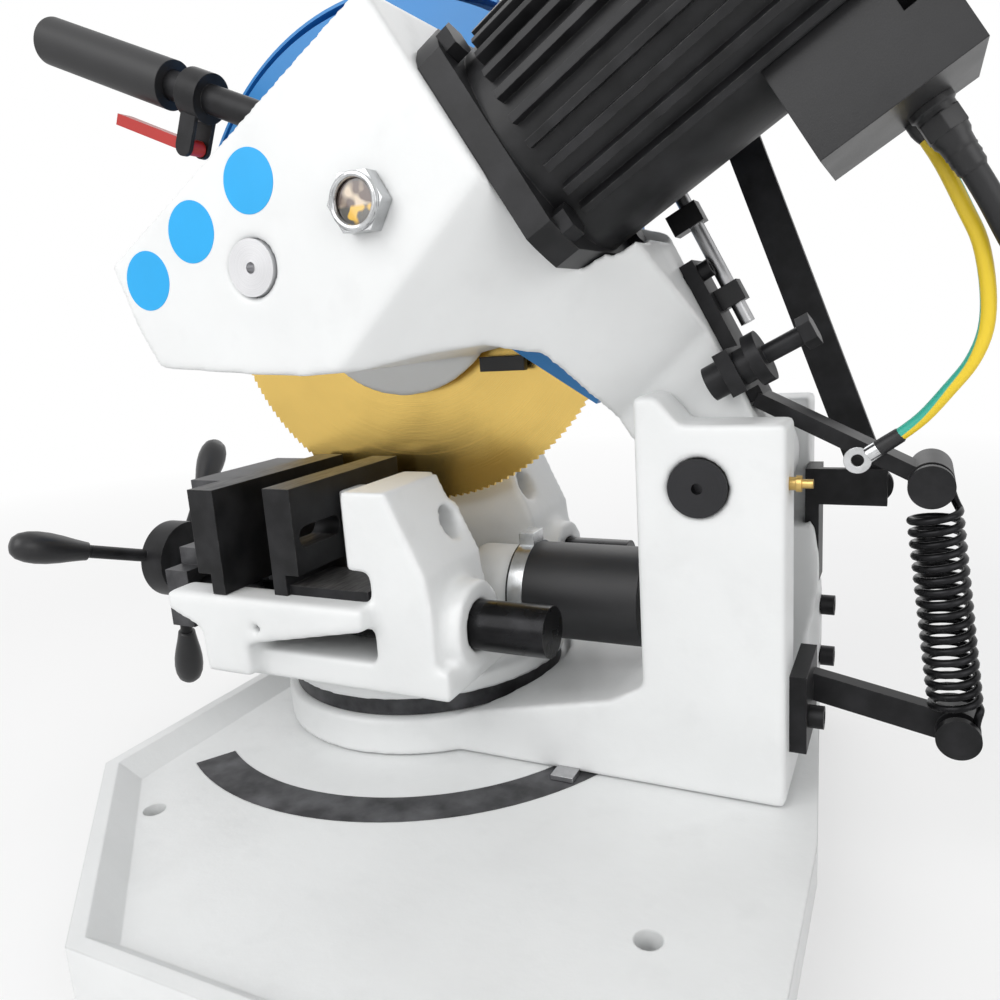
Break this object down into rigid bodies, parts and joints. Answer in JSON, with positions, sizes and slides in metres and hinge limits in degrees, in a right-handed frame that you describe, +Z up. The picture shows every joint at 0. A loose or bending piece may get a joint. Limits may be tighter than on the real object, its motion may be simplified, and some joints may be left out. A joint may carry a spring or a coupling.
{
  "type": "cold saw",
  "caption": "Swivelling cold saw: worm-driven gold blade on a tilting white head with motor, sprung return arm, sliding vise and handwheel on a chip-tray base.",
  "frame": {"origin": "swivel axis at the foot of the base's plinth, on the bench", "axes": "+X to the rear, from the handwheel to the column; +Y away from the gear case side; +Z up along the swivel axis"},
  "size_m": [0.8564, 0.5, 0.5715],
  "materials": {
    "white": "smooth white enamel",
    "black": "blued black steel",
    "dark": "dark machined steel",
    "steel": "turned steel",
    "gold": "gold coated steel",
    "blue": "blue enamel",
    "rubber": "matt rubber",
    "plastic": "black plastic",
    "red": "red plastic",
    "lead": "yellow and green sheath",
    "brass": "bright brass",
    "zinc": "bright zinc",
    "oil": "clear window over oil",
    "iron": "plain casting"
  },
  "bodies": {
    "base": {"base_casting": "white", "mounting_feet": "dark", "scale_band": "dark", "swivel_post": "dark", "vise_body": "white", "vise_bolts": "black", "fixed_jaw_near": "black", "fixed_jaw_far": "black", "fixed_jaw_screws": "black", "vise_nut": "brass", "screw_hose": "rubber", "hose_clamp": "zinc"},
    "carriage": {"jaw_carriage": "dark", "moving_jaw": "black", "moving_jaw_screws": "black", "guide_bars": "black"},
    "wheel": {"vise_screw": "steel", "handwheel": "black", "handwheel_grips": "plastic"},
    "arm": {"swivel_arm": "white", "pivot_pin": "dark", "angle_pointer": "steel", "spring_bracket": "black", "bracket_screws": "black", "link_bracket": "black", "grease_nipple": "brass", "return_spring": "black", "supply_cable": "rubber", "cable_coil": "rubber", "supply_plug": "plastic"},
    "lock": {"swivel_lock": "black"},
    "head": {"head_casting": "white", "spindle_bearings": "steel", "sight_ring": "zinc", "sight_lens": "oil", "motor_housing": "dark", "motor_bolts": "zinc", "fan_cowl": "black", "terminal_box": "plastic", "cable_gland": "plastic", "blade_guard": "blue", "guard_slider": "plastic", "spring_lever": "black", "lever_screw": "black", "stop_boss": "black", "stop_bolt": "black", "tie_rod": "steel", "handle_lever": "dark", "handle_grip": "rubber", "earth_lead": "lead", "earth_lug": "zinc"},
    "spindle": {"spindle": "steel", "worm_wheel": "brass", "saw_blade": "gold", "blade_clamp": "dark"},
    "rotor": {"worm_shaft": "steel", "cooling_fan": "plastic"},
    "guard": {"moving_guard": "blue"},
    "link": {"guard_link": "black"},
    "trigger": {"trigger": "red"}
  },
  "joints": [
    {"name": "swivel", "type": "hinge", "parent": "base", "child": "arm", "pos_m": [0, 0, 0.06], "axis": [0, 0, -1], "range_deg": [0, 45]},
    {"name": "head_tilt", "type": "hinge", "parent": "arm", "child": "head", "pos_m": [0.222, 0, 0.237], "axis": [0, 1, 0], "range_deg": [-10, 25], "stiffness_Nm_per_rad": 150, "springref_deg": 24.64, "deforming": ["return_spring", "supply_cable"]},
    {"name": "blade_spin", "type": "hinge", "parent": "head", "child": "spindle", "pos_m": [0.005, 0, 0.365], "axis": [0, 1, 0], "continuous": true},
    {"name": "motor_spin", "type": "hinge", "parent": "head", "child": "rotor", "pos_m": [0.02386, -0.083, 0.33434], "axis": [0.8517, 0, 0.524], "continuous": true},
    {"name": "guard_swing", "type": "hinge", "parent": "head", "child": "guard", "pos_m": [0.005, 0, 0.365], "axis": [0, 1, 0], "range_deg": [-8.2, 3.5]},
    {"name": "link_swing", "type": "hinge", "parent": "arm", "child": "link", "pos_m": [0.301, 0.035, 0.2176], "axis": [0, 1, 0], "range_deg": [-8.6, 21.2]},
    {"name": "jaw_slide", "type": "slide", "parent": "base", "child": "carriage", "axis": [-1, 0, 0], "range_m": [-0.03, 0.045]},
    {"name": "handwheel_turn", "type": "hinge", "parent": "carriage", "child": "wheel", "pos_m": [-0.22, -0.022, 0.155], "axis": [-1, 0, 0], "range_deg": [-2150, 3220]},
    {"name": "trigger_pull", "type": "hinge", "parent": "head", "child": "trigger", "pos_m": [-0.09175, -0.08, 0.44838], "axis": [0, 1, 0], "range_deg": [0, 10], "stiffness_Nm_per_rad": 0.6, "springref_deg": -14.32},
    {"name": "lock_turn", "type": "hinge", "parent": "arm", "child": "lock", "pos_m": [0, 0.115, 0.073], "axis": [0, 1, 0], "range_deg": [0, 15]}
  ],
  "couplings": [
    {"joint": "motor_spin", "follows": "blade_spin", "ratio": 24},
    {"joint": "guard_swing", "follows": "head_tilt", "ratio": -0.312},
    {"joint": "link_swing", "follows": "head_tilt", "ratio": 0.84},
    {"joint": "jaw_slide", "follows": "handwheel_turn", "m_per_rad": 0.00079577}
  ]
}
